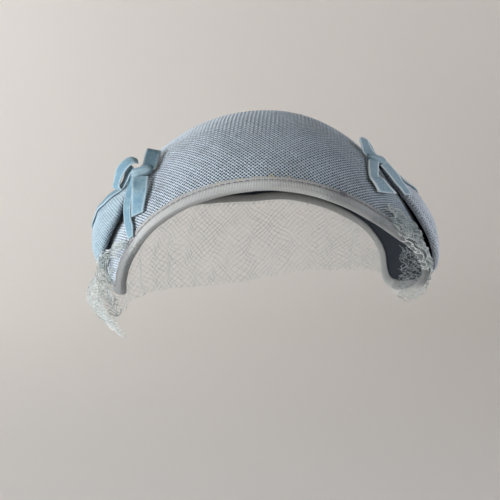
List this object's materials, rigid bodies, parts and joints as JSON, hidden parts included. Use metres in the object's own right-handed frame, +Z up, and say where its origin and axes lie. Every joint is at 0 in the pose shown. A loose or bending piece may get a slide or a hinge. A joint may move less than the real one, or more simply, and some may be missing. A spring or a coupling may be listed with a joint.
{
  "type": "half hat with a veil",
  "caption": "Stiffened cloth half hat with a draped front layer, ribbon-bound edges, a velvet band ending in two small bows, and a short net veil.",
  "frame": {"origin": "where the top of the head meets the inside of the crown", "axes": "+Z up, the front of the hat towards -Y, the wearer's left towards +X"},
  "size_m": [0.2035, 0.1729, 0.1214],
  "materials": {
    "crown_cloth": "open plain weave of stiff pale blue straw cloth, faded, with ribs from front to back",
    "drape_cloth": "the same pale blue cloth, softer, gathered in fine ribs at its fold",
    "ribbed_ribbon": "faded grey-blue ribbed ribbon with fine cross ribs, stained where it is glued",
    "velvet": "soft blue velvet ribbon with paler woven edges",
    "net": "fine open net of pale grey-blue thread"
  },
  "bodies": {
    "root": {"crown": "crown_cloth", "front_drape": "drape_cloth", "back_binding": "ribbed_ribbon", "front_binding": "ribbed_ribbon", "velvet_band": "velvet", "left_bow_knot": "velvet", "left_bow_upper_loop": "velvet", "left_bow_side_loop": "velvet", "left_bow_short_tail": "velvet", "left_bow_long_tail": "velvet", "right_bow_knot": "velvet", "right_bow_upper_loop": "velvet", "right_bow_folded_tail": "velvet", "right_bow_long_tail": "velvet", "veil": "net", "left_veil_end": "net", "right_veil_end": "net"}
  },
  "joints": []
}
